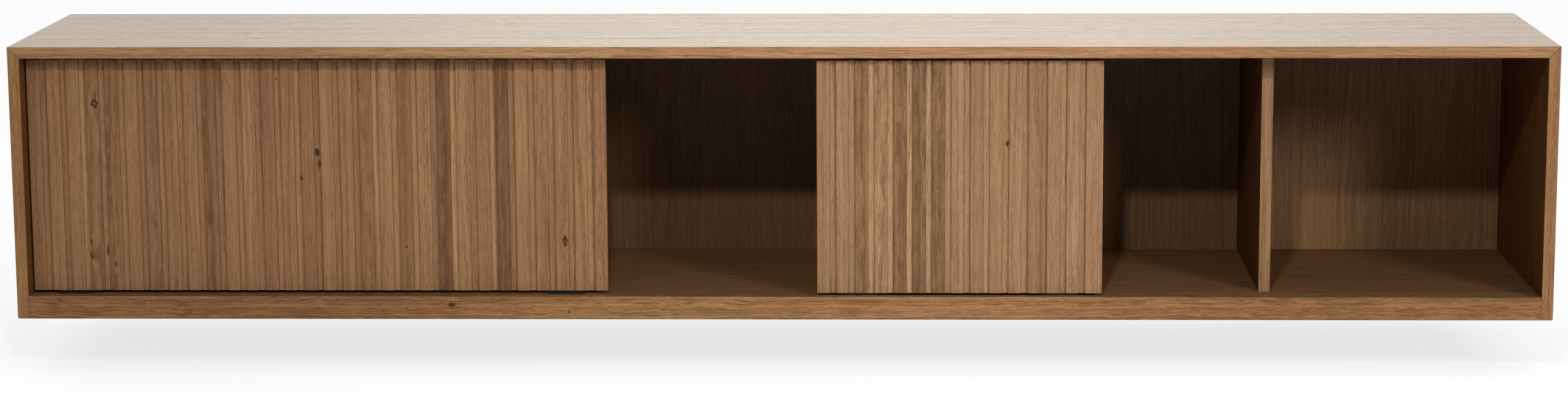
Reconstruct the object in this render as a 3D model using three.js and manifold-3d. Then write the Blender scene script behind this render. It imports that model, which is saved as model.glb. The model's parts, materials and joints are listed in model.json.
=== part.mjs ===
// Floating media console: a long wall-hung case with two slatted doors that slide past each other.
// X runs along the wall, +Y points into the wall and +Z up. Every length is in millimetres.
// The origin lies on the wall, midway along the case, at the height of the wall screws.
import * as THREE from 'three';
import { mergeVertices } from 'three/addons/utils/BufferGeometryUtils.js';
import Module from 'manifold-3d';

const wasm = await Module();
wasm.setup();

// Case
const caseWidth = 2540;
const caseHeight = 454;
const caseDepth = 457;
const panelThickness = 19;
const lowerCornerRadius = 3;
const seamGap = 0.3;

// Bottom
const frontRailHeight = 38;
const frontRailThickness = 19;
const frontRailLip = 3;
const floorThickness = 19;
const rearRailWidth = 38;
const bearerWidth = 60;

// Back and wall fixing
const backThickness = 6;
const backRebate = 9;
const backClearance = 0.5;
const hangingRailHeight = 58;
const hangingRailThickness = 19;
const screwHoleDiameter = 8;
const endScrewInset = 235;
const centreScrewInset = 182.4;
const centreScrewCount = 4;

// Dividers
const dividerThickness = 19;
const endBayWidth = 440;
const dividerClearance = 13;

// Doors
const wideDoorWidth = 959;
const narrowDoorWidth = 471;
const narrowDoorOffset = 58.5;
const narrowDoorSlats = 15;
const narrowDoorEdgeStrip = 7;
const slatWidth = 21.6;
const slatRelief = 4;
const slatArris = 0.5;
const boardWeb = 3;
const backingThickness = 9;
const slatsPerBoard = 3;
const doorFloorGap = 6;
const doorCeilingGap = 6;
const doorEndGap = 2.5;
const doorSetback = 16;
const doorClearance = 2;

// Sliding gear
const ribWidth = 3;
const ribHeight = 6;
const ribProud = 2;
const glideLength = 60;
const glideWidth = 8;
const glideInset = 40;
const glideFloorGap = 0.6;
const slidingGap = 0.3;
const channelOuterWidth = 8;
const channelOuterHeight = 8;
const channelWall = 1;
const guidePlateLength = 40;
const guidePlateThickness = 3;
const guidePinDiameter = 5;
const guidePinEngagement = 5;
const stopHeight = 5;

// How far a cutting tool runs past what it cuts, and how finely round things are drawn
const cutOverrun = 1;
const cornerSteps = 4;
const holeSides = 24;
const pinSides = 16;

// Heights, from the origin
const ceilingZ = hangingRailHeight / 2;
const topZ = ceilingZ + panelThickness;
const bottomZ = topZ - caseHeight;
const railTopZ = bottomZ + frontRailHeight;
const floorZ = railTopZ - frontRailLip;
const floorUnderZ = floorZ - floorThickness;
const hangingRailZ = ceilingZ - hangingRailHeight;
const doorBottomZ = floorZ + doorFloorGap;
const doorTopZ = ceilingZ - doorCeilingGap;

// Places along the case
const outerX = caseWidth / 2;
const innerX = outerX - panelThickness;
const rebateX = innerX + backRebate;
const dividerOuterX = innerX - endBayWidth;
const dividerInnerX = dividerOuterX - dividerThickness;
const dividerMidX = (dividerOuterX + dividerInnerX) / 2;

// Depths: the wall is at 0 and the room lies towards -Y
const wallY = 0;
const frontY = wallY - caseDepth;
const backY = wallY - backThickness;
const railBackY = frontY + frontRailThickness;
const rearRailFrontY = backY - rearRailWidth;
const hangingRailFrontY = backY - hangingRailThickness;
const boardThickness = slatRelief + boardWeb;
const doorThickness = boardThickness + backingThickness;
const narrowDoorFrontY = frontY + doorSetback;
const wideDoorFrontY = narrowDoorFrontY + doorThickness + doorClearance;
const dividerFrontY = wideDoorFrontY + doorThickness + dividerClearance;
const frontTrackY = narrowDoorFrontY + doorThickness / 2;
const rearTrackY = wideDoorFrontY + doorThickness / 2;

// Doors along the case: the wide one has twice the slats of the narrow one, and each door
// shares its width out evenly among its slats
const wideDoorSlats = 2 * narrowDoorSlats;
const pitchFor = (width, slatCount) => (width - slatWidth) / (slatCount - 1);
const wideDoorLeftX = doorEndGap - innerX;
const wideDoor = {
  span: [wideDoorLeftX, wideDoorLeftX + wideDoorWidth],
  faceY: wideDoorFrontY,
  trackY: rearTrackY,
  slatCount: wideDoorSlats,
  slatPitch: pitchFor(wideDoorWidth, wideDoorSlats),
};
const narrowDoor = {
  span: [narrowDoorOffset, narrowDoorOffset + narrowDoorWidth],
  faceY: narrowDoorFrontY,
  trackY: frontTrackY,
  slatCount: narrowDoorSlats,
  slatPitch: pitchFor(narrowDoorWidth - narrowDoorEdgeStrip, narrowDoorSlats),
};

// Materials
const finish = (color, roughness, metalness = 0) =>
  new THREE.MeshStandardMaterial({ color, roughness, metalness });
const oiledOak = finish(0x946d48, 0.55);
const oiledOakEndBoard = finish(0x8a6443, 0.55);
const slattedOak = finish(0x90694a, 0.6);
const oakVeneer = finish(0x8a6444, 0.6);
const plywood = finish(0xb08a60, 0.7);
const trackFibre = finish(0x5a4a36, 0.5);
const blackNylon = finish(0x1c1b1a, 0.45);
const anodised = finish(0x4a443c, 0.35, 1);

const consoleGroup = new THREE.Group();

function addPiece(name, geometry, material) {
  const mesh = new THREE.Mesh(geometry, material);
  mesh.name = name;
  consoleGroup.add(mesh);
}

// A box given by its two ends along each axis, so that neighbours share the very same plane
function boxBetween([x0, x1], [y0, y1], [z0, z1]) {
  const geometry = new THREE.BoxGeometry(1, 1, 1);
  const place = geometry.attributes.position;
  for (let i = 0; i < place.count; i += 1) {
    place.setXYZ(
      i,
      place.getX(i) < 0 ? x0 : x1,
      place.getY(i) < 0 ? y0 : y1,
      place.getZ(i) < 0 ? z0 : z1,
    );
  }
  return geometry;
}

// An outline extruded one unit, then laid along an axis between two places
function extrudeOutline(outline, layPoint) {
  const geometry = new THREE.ExtrudeGeometry(outline, { depth: 1, bevelEnabled: false });
  const place = geometry.attributes.position;
  for (let i = 0; i < place.count; i += 1) {
    place.setXYZ(i, ...layPoint(place.getX(i), place.getY(i), place.getZ(i) > 0));
  }
  return geometry;
}

// Outline in X and Z, run from the room towards the wall
const extrudeAlongY = (outline, y0, y1) =>
  extrudeOutline(outline, (x, z, far) => [x, far ? y0 : y1, z]);

// Outline in Y and Z, run along the case
const extrudeAlongX = (outline, x0, x1) =>
  extrudeOutline(outline, (y, z, far) => [far ? x1 : x0, y, z]);

// Outline in X and Y, run upwards
const extrudeAlongZ = (outline, z0, z1) =>
  extrudeOutline(outline, (x, y, far) => [x, y, far ? z1 : z0]);

const outlineOf = (points) => new THREE.Shape(points.map(([a, b]) => new THREE.Vector2(a, b)));

function toSolid(geometry) {
  const bare = geometry.clone();
  bare.deleteAttribute('normal');
  bare.deleteAttribute('uv');
  const merged = mergeVertices(bare);
  return new wasm.Manifold(new wasm.Mesh({
    numProp: 3,
    vertProperties: new Float32Array(merged.attributes.position.array),
    triVerts: new Uint32Array(merged.index.array),
  }));
}

function toGeometry(solid) {
  const mesh = solid.getMesh();
  const geometry = new THREE.BufferGeometry();
  geometry.setAttribute('position', new THREE.BufferAttribute(mesh.vertProperties, mesh.numProp));
  geometry.setIndex(new THREE.BufferAttribute(mesh.triVerts, 1));
  return geometry;
}

const cutFrom = (geometry, tools) =>
  toGeometry(tools.reduce((solid, tool) => solid.subtract(toSolid(tool)), toSolid(geometry)));

const join = (first, second) => toGeometry(toSolid(first).add(toSolid(second)));

// A round bar along Y, for the screw holes
function barAlongY(x, z, diameter, y0, y1) {
  const bar = new THREE.CylinderGeometry(diameter / 2, diameter / 2, y1 - y0, holeSides);
  return bar.translate(x, (y0 + y1) / 2, z);
}

// Top panel: mitred ends, two grooves for the guide channels and a rebate for the backs
const trackYs = [frontTrackY, rearTrackY];
const channelGrooves = trackYs.map((y) => boxBetween(
  [-innerX, innerX],
  [y - channelOuterWidth / 2 - seamGap, y + channelOuterWidth / 2 + seamGap],
  [ceilingZ - cutOverrun, ceilingZ + channelOuterHeight + seamGap],
));
const topRebate = boxBetween(
  [-rebateX, rebateX],
  [backY, wallY + cutOverrun],
  [ceilingZ - cutOverrun, ceilingZ + backRebate],
);
const topOutline = outlineOf([
  [-innerX, ceilingZ],
  [innerX, ceilingZ],
  [outerX, topZ],
  [-outerX, topZ],
]);
addPiece(
  'top_panel',
  cutFrom(extrudeAlongY(topOutline, frontY, wallY), [...channelGrooves, topRebate]),
  oiledOak,
);

// Side panels: mitred at the top, eased at the lower outer corner, rebated for the back
function sidePanel(side) {
  const outline = new THREE.Shape();
  outline.moveTo(side * innerX, bottomZ);
  outline.lineTo(side * (outerX - lowerCornerRadius), bottomZ);
  outline.absarc(
    side * (outerX - lowerCornerRadius),
    bottomZ + lowerCornerRadius,
    lowerCornerRadius,
    -Math.PI / 2,
    side > 0 ? 0 : -Math.PI,
    side < 0,
  );
  outline.lineTo(side * outerX, topZ - seamGap);
  outline.lineTo(side * innerX, ceilingZ - seamGap);
  const rebateEdges = [side * (innerX - cutOverrun), side * rebateX].sort((a, b) => a - b);
  const rebate = boxBetween(
    rebateEdges,
    [backY, wallY + cutOverrun],
    [bottomZ - cutOverrun, ceilingZ + backRebate],
  );
  const panel = new THREE.Shape(outline.getPoints(cornerSteps));
  return cutFrom(extrudeAlongY(panel, frontY, wallY), [rebate]);
}
addPiece('left_side_panel', sidePanel(-1), oiledOakEndBoard);
addPiece('right_side_panel', sidePanel(1), oiledOakEndBoard);

// Floor panel, with a groove for each track rib
const ribBottomZ = floorZ + ribProud - ribHeight;
const ribGrooves = trackYs.map((y) => boxBetween(
  [-outerX, outerX],
  [y - ribWidth / 2 - seamGap, y + ribWidth / 2 + seamGap],
  [ribBottomZ - seamGap, floorZ + cutOverrun],
));
addPiece(
  'floor_panel',
  cutFrom(boxBetween([-innerX, innerX], [railBackY, backY], [floorUnderZ, floorZ]), ribGrooves),
  oakVeneer,
);

// Rails and bearers that carry the floor
addPiece(
  'front_bottom_rail',
  boxBetween([seamGap - innerX, innerX - seamGap], [frontY, railBackY], [bottomZ, railTopZ]),
  oiledOak,
);
addPiece(
  'rear_bottom_rail',
  boxBetween([-innerX, innerX], [rearRailFrontY, backY], [bottomZ, floorUnderZ]),
  plywood,
);
const bearers = { left: -dividerMidX, centre: 0, right: dividerMidX };
for (const [place, x] of Object.entries(bearers)) {
  addPiece(
    `${place}_cross_bearer`,
    boxBetween(
      [x - bearerWidth / 2, x + bearerWidth / 2],
      [railBackY, rearRailFrontY],
      [bottomZ, floorUnderZ],
    ),
    plywood,
  );
}

// Dividers, set back behind both doors
const dividers = {
  left: [-dividerOuterX, -dividerInnerX],
  right: [dividerInnerX, dividerOuterX],
};
for (const [place, span] of Object.entries(dividers)) {
  addPiece(
    `${place}_divider`,
    boxBetween(span, [dividerFrontY, backY], [floorZ, ceilingZ]),
    oakVeneer,
  );
}

// Three bays, each with its back panel and its hanging rail. Both are drilled alike for the wall
// screws, one in each end bay and a row across the centre bay. All six stand as far apart as studs.
const endScrewX = innerX - endScrewInset;
const centreScrewX = dividerInnerX - centreScrewInset;
const centreScrewXs = Array.from(
  { length: centreScrewCount },
  (_, i) => centreScrewX * (2 * i / (centreScrewCount - 1) - 1),
);
const drillsAt = (places) => places.map(
  (x) => barAlongY(x, 0, screwHoleDiameter, hangingRailFrontY - cutOverrun, wallY + cutOverrun),
);
const backEdgeX = rebateX - backClearance;
const bays = {
  left: {
    back: [-backEdgeX, -dividerMidX - backClearance / 2],
    clear: [-innerX, -dividerOuterX],
    screws: [-endScrewX],
  },
  centre: {
    back: [backClearance / 2 - dividerMidX, dividerMidX - backClearance / 2],
    clear: [-dividerInnerX, dividerInnerX],
    screws: centreScrewXs,
  },
  right: {
    back: [dividerMidX + backClearance / 2, backEdgeX],
    clear: [dividerOuterX, innerX],
    screws: [endScrewX],
  },
};
for (const [place, { back, clear, screws }] of Object.entries(bays)) {
  const backPanel = boxBetween(back, [backY, wallY], [bottomZ, ceilingZ + backRebate - backClearance]);
  addPiece(`${place}_back_panel`, cutFrom(backPanel, drillsAt(screws)), oakVeneer);
  const hangingRail = boxBetween(clear, [hangingRailFrontY, backY], [hangingRailZ, ceilingZ]);
  addPiece(`${place}_hanging_rail`, cutFrom(hangingRail, drillsAt(screws)), plywood);
}

// Guide channels above, track ribs below and a stop in each end of each channel
function guideChannel(y) {
  const half = channelOuterWidth / 2;
  const slot = half - channelWall;
  const roofZ = ceilingZ + channelOuterHeight;
  return extrudeAlongX(outlineOf([
    [y - half, ceilingZ],
    [y - slot, ceilingZ],
    [y - slot, roofZ - channelWall],
    [y + slot, roofZ - channelWall],
    [y + slot, ceilingZ],
    [y + half, ceilingZ],
    [y + half, roofZ],
    [y - half, roofZ],
  ]), seamGap - innerX, innerX - seamGap);
}
const guideInset = glideInset + glideLength / 2;
const stopLength = doorEndGap + guideInset - guidePinDiameter / 2 - slidingGap;
function channelStop(y, side) {
  const halfWidth = channelOuterWidth / 2 - channelWall - seamGap;
  const stopTopZ = ceilingZ + channelOuterHeight - channelWall - seamGap;
  const span = [side * (innerX - stopLength), side * (innerX - seamGap)].sort((a, b) => a - b);
  return boxBetween(span, [y - halfWidth, y + halfWidth], [stopTopZ - stopHeight, stopTopZ]);
}
const tracks = { front: frontTrackY, rear: rearTrackY };
for (const [place, y] of Object.entries(tracks)) {
  addPiece(`upper_${place}_channel`, guideChannel(y), anodised);
  addPiece(
    `lower_${place}_track`,
    boxBetween(
      [seamGap - innerX, innerX - seamGap],
      [y - ribWidth / 2, y + ribWidth / 2],
      [ribBottomZ, floorZ + ribProud],
    ),
    trackFibre,
  );
  addPiece(`upper_${place}_left_stop`, channelStop(y, -1), blackNylon);
  addPiece(`upper_${place}_right_stop`, channelStop(y, 1), blackNylon);
}

// One board of a door seen from above: slats standing proud of a thin web
function boardOutline(leftX, rightX, faceY, slatCount, slatPitch) {
  const webY = faceY + slatRelief;
  const rearY = faceY + boardThickness;
  const points = [[leftX, rearY]];
  for (let slat = 0; slat < slatCount; slat += 1) {
    const start = leftX + slat * slatPitch;
    const end = start + slatWidth;
    if (slat > 0) points.push([start, webY]);
    points.push([start, faceY + slatArris], [start + slatArris, faceY]);
    points.push([end - slatArris, faceY], [end, faceY + slatArris]);
    if (rightX > end) points.push([end, webY]);
  }
  if (rightX > leftX + (slatCount - 1) * slatPitch + slatWidth) points.push([rightX, webY]);
  points.push([rightX, rearY]);
  return outlineOf(points);
}

// A nylon block under the door, slotted over the track rib
function bottomGlide(x, trackY) {
  const half = glideWidth / 2;
  const slot = ribWidth / 2 + slidingGap;
  const footZ = floorZ + glideFloorGap;
  const slotZ = floorZ + ribProud + slidingGap;
  return extrudeAlongX(outlineOf([
    [trackY - half, footZ],
    [trackY - slot, footZ],
    [trackY - slot, slotZ],
    [trackY + slot, slotZ],
    [trackY + slot, footZ],
    [trackY + half, footZ],
    [trackY + half, doorBottomZ],
    [trackY - half, doorBottomZ],
  ]), x - glideLength / 2, x + glideLength / 2);
}

// A nylon plate on top of the door, with a pin that runs in the guide channel
function topGuide(x, trackY) {
  const plate = boxBetween(
    [x - guidePlateLength / 2, x + guidePlateLength / 2],
    [trackY - glideWidth / 2, trackY + glideWidth / 2],
    [doorTopZ, doorTopZ + guidePlateThickness],
  );
  const pinRadius = guidePinDiameter / 2;
  const pinTopZ = ceilingZ + guidePinEngagement;
  const pinLength = pinTopZ - doorTopZ - guidePlateThickness / 2;
  const pin = new THREE.CylinderGeometry(pinRadius, pinRadius, pinLength, pinSides);
  pin.rotateX(Math.PI / 2);
  pin.translate(x, trackY, pinTopZ - pinLength / 2);
  return join(plate, pin);
}

// A whole door: slatted boards on a backing panel, two glides below and two guides above
function addDoor(name, { span: [leftX, rightX], faceY, trackY, slatCount, slatPitch }) {
  const backingY = faceY + boardThickness;
  addPiece(
    `${name}_backing`,
    boxBetween([leftX, rightX], [backingY, backingY + backingThickness], [doorBottomZ, doorTopZ]),
    oakVeneer,
  );
  const boardCount = Math.ceil(slatCount / slatsPerBoard);
  for (let board = 0; board < boardCount; board += 1) {
    const boardLeftX = leftX + board * slatsPerBoard * slatPitch;
    const isLast = board === boardCount - 1;
    const boardRightX = isLast ? rightX : leftX + (board + 1) * slatsPerBoard * slatPitch;
    const slatsHere = Math.min(slatsPerBoard, slatCount - board * slatsPerBoard);
    const outline = boardOutline(boardLeftX, boardRightX, faceY, slatsHere, slatPitch);
    addPiece(
      `${name}_board_${String(board + 1).padStart(2, '0')}`,
      extrudeAlongZ(outline, doorBottomZ, doorTopZ),
      slattedOak,
    );
  }
  const fittings = { left: leftX + guideInset, right: rightX - guideInset };
  for (const [place, x] of Object.entries(fittings)) {
    addPiece(`${name}_${place}_glide`, bottomGlide(x, trackY), blackNylon);
    addPiece(`${name}_${place}_guide`, topGuide(x, trackY), blackNylon);
  }
}
addDoor('wide_door', wideDoor);
addDoor('narrow_door', narrowDoor);

export default consoleGroup;
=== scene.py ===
import json
import math
import random

import bmesh
import bpy
from mathutils import Matrix, Vector

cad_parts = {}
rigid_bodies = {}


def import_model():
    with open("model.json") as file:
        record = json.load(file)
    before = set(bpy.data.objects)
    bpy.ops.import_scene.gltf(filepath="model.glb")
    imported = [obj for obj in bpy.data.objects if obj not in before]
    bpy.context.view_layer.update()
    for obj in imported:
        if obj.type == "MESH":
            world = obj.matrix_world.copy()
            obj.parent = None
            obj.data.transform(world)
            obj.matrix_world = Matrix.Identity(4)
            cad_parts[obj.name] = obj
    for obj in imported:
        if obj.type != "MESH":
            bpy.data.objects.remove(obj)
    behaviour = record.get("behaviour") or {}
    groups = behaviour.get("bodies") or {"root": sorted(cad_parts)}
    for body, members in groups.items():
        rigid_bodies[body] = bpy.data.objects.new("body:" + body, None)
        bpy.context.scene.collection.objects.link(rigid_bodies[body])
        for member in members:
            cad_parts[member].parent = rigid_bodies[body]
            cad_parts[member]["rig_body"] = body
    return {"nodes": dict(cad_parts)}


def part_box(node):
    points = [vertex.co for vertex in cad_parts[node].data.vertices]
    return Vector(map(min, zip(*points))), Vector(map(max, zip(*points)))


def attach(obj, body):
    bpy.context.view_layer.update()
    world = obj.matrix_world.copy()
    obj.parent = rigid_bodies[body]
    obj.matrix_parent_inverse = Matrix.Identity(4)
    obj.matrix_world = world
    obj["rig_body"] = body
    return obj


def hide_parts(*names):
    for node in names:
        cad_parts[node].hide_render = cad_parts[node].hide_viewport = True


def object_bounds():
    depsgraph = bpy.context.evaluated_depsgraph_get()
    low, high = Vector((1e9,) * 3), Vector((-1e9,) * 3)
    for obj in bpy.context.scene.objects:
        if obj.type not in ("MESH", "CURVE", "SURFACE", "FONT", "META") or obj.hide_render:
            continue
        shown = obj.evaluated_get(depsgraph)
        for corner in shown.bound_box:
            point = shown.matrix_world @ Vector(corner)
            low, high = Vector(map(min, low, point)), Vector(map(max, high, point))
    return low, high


bl_info = {
    "name": "Floating Media Console",
    "version": (1, 0, 0),
    "blender": (4, 5, 0),
    "location": "View3D > Sidebar > Console",
    "description": "Dresses a long wall-hung oak case with two slatted sliding doors",
    "category": "Object",
}

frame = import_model()
CAD_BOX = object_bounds()


def span(low, high):
    """What a Map Range node takes for the span of values that it starts from."""
    return {"From Min": low, "From Max": high}


MM = 0.001
HALF_TURN = math.pi
QUARTER_TURN = math.pi / 2

# The photograph's own size, and where its lens axis meets it, in its pixels from the left
PHOTO_WIDTH = 2576
LENS_AXIS_X = 1344.15

# Points of a mesh closer than this are one, and edges that turn further than this are sharp
SAME_PLACE = 0.01 * MM
SHARP_TURN = math.radians(30)
# How squarely a face looks along an axis when it is picked: with the sanded edges beside the
# flat face, or without them
WITH_ARRISES = 0.5
FLAT_ONLY = 0.99
# How far behind a divider's front its solid lipping ends
LIPPING_EDGE = 0.5 * MM

DOORS = ("wide_door", "narrow_door")
SLATS_PER_BOARD = 3

# Slats and channels that stand out, counted from 1 at each door's left end: how much paler (or
# darker) than the rest, how much more golden (or pinker), and how strongly figured
WIDE_SLATS = {
    1: (-0.02, 0.0, 0.2), 2: (0.06, 0.0, 0.1), 3: (0.12, 0.1, 0.1), 4: (-0.12, 0.0, 0.5),
    5: (-0.06, 0.0, 0.7), 6: (0.24, 0.0, 0.1), 7: (-0.22, -0.2, 0.6), 10: (-0.25, 0.0, 0.7),
    11: (0.14, 0.1, 0.1), 12: (0.25, 0.1, 0.1), 13: (-0.02, -0.7, 0.3), 14: (0.11, 0.0, 0.2),
    16: (0.1, 0.0, 0.2), 18: (-0.1, 0.1, 0.7), 19: (0.14, 0.2, 0.1), 22: (-0.36, 0.0, 1.0),
    23: (0.12, 0.2, 0.1), 24: (0.1, 0.1, 0.2), 25: (-0.34, -0.1, 1.0), 26: (0.11, 0.0, 0.2),
    27: (0.0, 0.1, 0.8), 29: (-0.02, -0.4, 0.2), 30: (-0.05, -0.8, 0.6),
}
WIDE_CHANNELS = {3: (0.24, 0.8, 0.1), 14: (0.26, 0.5, 0.1), 18: (0.28, 0.3, 0.1),
                 19: (0.26, 0.6, 0.1), 22: (0.3, 0.4, 0.3), 29: (0.24, 0.6, 0.2)}
NARROW_SLATS = {
    3: (-0.28, 0.0, 0.9), 4: (0.03, 0.1, 0.8), 5: (-0.27, -0.2, 1.0), 6: (-0.4, 0.0, 1.0),
    7: (-0.31, -0.2, 0.9), 9: (-0.05, -0.2, 0.2), 10: (0.04, 0.0, 0.1), 13: (-0.03, 0.0, 0.1),
    15: (0.02, 0.0, 0.1),
}
NARROW_CHANNELS = {
    1: (0.05, 0.1, 0.1), 2: (0.08, 0.0, 0.1), 3: (0.52, 0.6, 0.1), 4: (0.45, 0.6, 0.1),
    5: (0.5, 0.6, 0.1), 6: (0.46, 0.6, 0.1),
}
PLAIN_STRIP = (0.0, 0.0, 0.15)
PLAIN_CHANNEL = (0.12, 0.0, 0.1)
# How far chance moves a strip's warmth and its figure, and how far through the tree, in metres,
# the places lie that strips are cut from
WARMTH_SPREAD = 0.15
FIGURE_SPREAD = 0.08
TREE_REACH = 3

# Knots: place along the case and height, half width and half height, all in millimetres, and
# how dark the heart is against the rim
DOOR_KNOTS = (
    (-1136.6, -50.3, 6.5, 9.0, 0.35),
    (-1150.5, -281.7, 2.0, 5.5, 0.9),
    (-1149.4, -305.4, 3.6, 7.5, 0.5),
    (-1123.6, -298.1, 1.8, 12.0, 0.9),
    (-1111.2, -320.8, 1.6, 5.0, 0.8),
    (-834.2, -9.7, 2.0, 2.4, 0.8),
    (-796.5, -174.7, 3.4, 4.4, 0.5),
    (-769.1, -132.8, 4.4, 8.5, 0.95),
    (-766.5, -152.2, 3.2, 10.0, 0.7),
    (-360.4, -280.0, 4.8, 9.0, 0.7),
    (-624.1, -289.5, 2.0, 3.6, 0.7),
    (372.1, -114.4, 2.8, 4.8, 0.95),
)
RAIL_KNOTS = ((-546.7, -381.1, 6.2, 5.2, 1.0), (-352.2, -393.6, 2.8, 2.2, 0.8))
# From a knot's middle, in its half sizes: where its pith ends, where its rim fades, and how far
# round it the rings part. Then how wide they part, and how deep and how many the rim's tatters are
KNOT_PITH = span(0.2, 0.55)
KNOT_RIM = span(1.5, 1.9)
KNOT_REACH = span(0.3, 4.5)
KNOT_PARTING = 9 * MM
KNOT_TATTER = 1.7
TATTERS_PER_METRE = 300.0

# Darker places in the long boards: place along the case in millimetres, and how much darker
TOP_DARKENING = ((-900, 0.12), (-500, -0.04), (500, -0.03), (900, 0.12))
RAIL_DARKENING = ((-650, 0.26), (-350, 0.02), (450, 0.0), (800, 0.18))
FLOOR_DARKENING = ((200, 0.0), (600, 0.1), (900, 0.22))
# Painted shade: the wide door is drawn darker to the left, where less light falls on it
DOOR_PAINTED_SHADE = {"wide_door": ((-1250, 0.05), (-300, -0.06)), "narrow_door": ()}

# Painted shade at an open mitre: how far from it the wood is dark, and the strip it is drawn as
MITRE_REACH = 0.2 * MM
MITRE_SHADE_STRIP = (-0.85, 0.0, 0.0)

# How each grain direction is turned so that the pattern's own grain runs along Z
GRAIN_TURNS = {
    "along_case": (0.0, QUARTER_TURN, 0.0),
    "upright": (0.0, 0.0, 0.0),
}
# How far the grain is pushed aside: by its slow drift, by the curl that all oak has a little of,
# and by the curl of fully figured oak
DRIFT = 26 * MM
PLAIN_CURL = 2 * MM
FIGURED_CURL = 11 * MM
# The way through the tree from ring to ring, slanted so that faces and edges both show rings,
# and the size of the noise cells that draw them against their spacing
RING_WAY = (0.86, 0.5, 0.0)
RING_CELL = 1.6
# Share of the rings that plain oak shows, and how much more fully figured oak does
PLAIN_RINGS = 0.4
FIGURED_RINGS = 0.9
# How far curl shifts the colour of figured oak, and brushed fibre ends that of all oak
CURL_CONTRAST = 0.3
SPECKLE_CONTRAST = 0.16
# Pores crowd in the rings by this share, open in this span, and cover the wood by this share
PORE_CROWDING = 0.35
PORE_SPAN = span(0.72, 0.86)
PORE_COVER = 0.4
# What the pinkest and the most golden strips are tinted by
PINK = (1.0, 0.95, 1.0, 1.0)
GOLDEN = (1.0, 1.04, 0.94, 1.0)
# Green and blue fall faster than red where oak is deeper, and rise faster where it is paler
TONE_POWERS = (1.15, 1.35)
# A noise's mean, and the span that most of its values lie in
NOISE_MEAN = (0.5, 0.5, 0.5)
NOISE_SPAN = span(0.3, 0.7)
# Two plies of birch, one pale and one dark
PLY_PAIR = 3.2 * MM

# The studio as a unit direction sees it: how far aside the backdrop dims, how far back it starts,
# and how high the soft light of the walls and of the ceiling starts
BACKDROP_ASIDE = span(0.04, 0.22)
BACKDROP_BACK = span(-0.1, 0.35)
WALLS_UP = span(0.26, 0.36)
CEILING_UP = span(0.58, 0.7)
# Half the studio floor's width in metres, and the tooth of its paper: cells in a metre, and how
# far they differ
FLOOR_REACH = 9.0
PAPER_TOOTH = 220.0
PAPER_SPREAD = 0.02


def linear(hex_colour):
    """An sRGB hex colour as the linear colour that a shader takes."""
    channels = (int(hex_colour[i:i + 2], 16) / 255 for i in (1, 3, 5))
    return tuple(c / 12.92 if c <= 0.04045 else ((c + 0.055) / 1.055) ** 2.4
                 for c in channels) + (1.0,)


def add(tree, kind, inputs=None, **settings):
    """Adds one shader node. Settings are its own, inputs are values or sockets that feed it."""
    node = tree.nodes.new("ShaderNode" + kind)
    for name, value in settings.items():
        setattr(node, name, value)
    for name, value in (inputs or {}).items():
        if isinstance(value, bpy.types.NodeSocket):
            tree.links.new(value, node.inputs[name])
        else:
            node.inputs[name].default_value = value
    return node


def new_material(name):
    """An empty material and its node tree."""
    material = bpy.data.materials.new(name)
    material.use_nodes = True
    material.node_tree.nodes.clear()
    return material, material.node_tree


def finish_material(tree, shader):
    """Joins the last shader to the material's output."""
    add(tree, "OutputMaterial", {"Surface": shader.outputs[0]})


def in_cells(tree, place, across, along):
    """Where a point lies in noise with cells of that many millimetres, the grain along Z."""
    per_metre = (1 / (across * MM), 1 / (across * MM), 1 / (along * MM))
    return add(tree, "VectorMath", {0: place, 1: per_metre}, operation="MULTIPLY").outputs[0]


def part_rings(tree, place, depth, knots):
    """Parts the rings round each knot. Gives the new depth, and where the dark knots are."""
    knot_shade = None
    ragged = add(tree, "TexNoise", {"Vector": place, "Scale": TATTERS_PER_METRE, "Detail": 2.0})
    for x, z, half_width, half_height, core in knots:
        centre = (x * MM, 0.0, z * MM)
        reach = (1 / (half_width * MM), 0.0, 1 / (half_height * MM))
        offset = add(tree, "VectorMath", {0: place, 1: centre}, operation="SUBTRACT")
        scaled = add(tree, "VectorMath", {0: offset.outputs[0], 1: reach}, operation="MULTIPLY")
        far = add(tree, "VectorMath", {0: scaled.outputs[0]}, operation="LENGTH").outputs["Value"]
        edge = add(tree, "Math", {0: ragged.outputs["Fac"], 1: KNOT_TATTER, 2: far},
                   operation="MULTIPLY_ADD").outputs[0]
        swell = add(tree, "MapRange", {**KNOT_REACH, "Value": far, "To Min": KNOT_PARTING,
                                       "To Max": 0.0}, interpolation_type="SMOOTHSTEP")
        depth = add(tree, "Math", {0: depth, 1: swell.outputs[0]}, operation="ADD").outputs[0]
        rim = add(tree, "MapRange", {**KNOT_RIM, "Value": edge, "To Min": 1.0, "To Max": 0.0},
                  interpolation_type="SMOOTHSTEP").outputs[0]
        pith = add(tree, "MapRange", {**KNOT_PITH, "Value": far, "To Min": core,
                                      "To Max": 1.0}).outputs[0]
        heart = add(tree, "Math", {0: rim, 1: pith}, operation="MULTIPLY").outputs[0]
        knot_shade = heart if knot_shade is None else add(
            tree, "Math", {0: knot_shade, 1: heart}, operation="MAXIMUM").outputs[0]
    return depth, knot_shade


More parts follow.
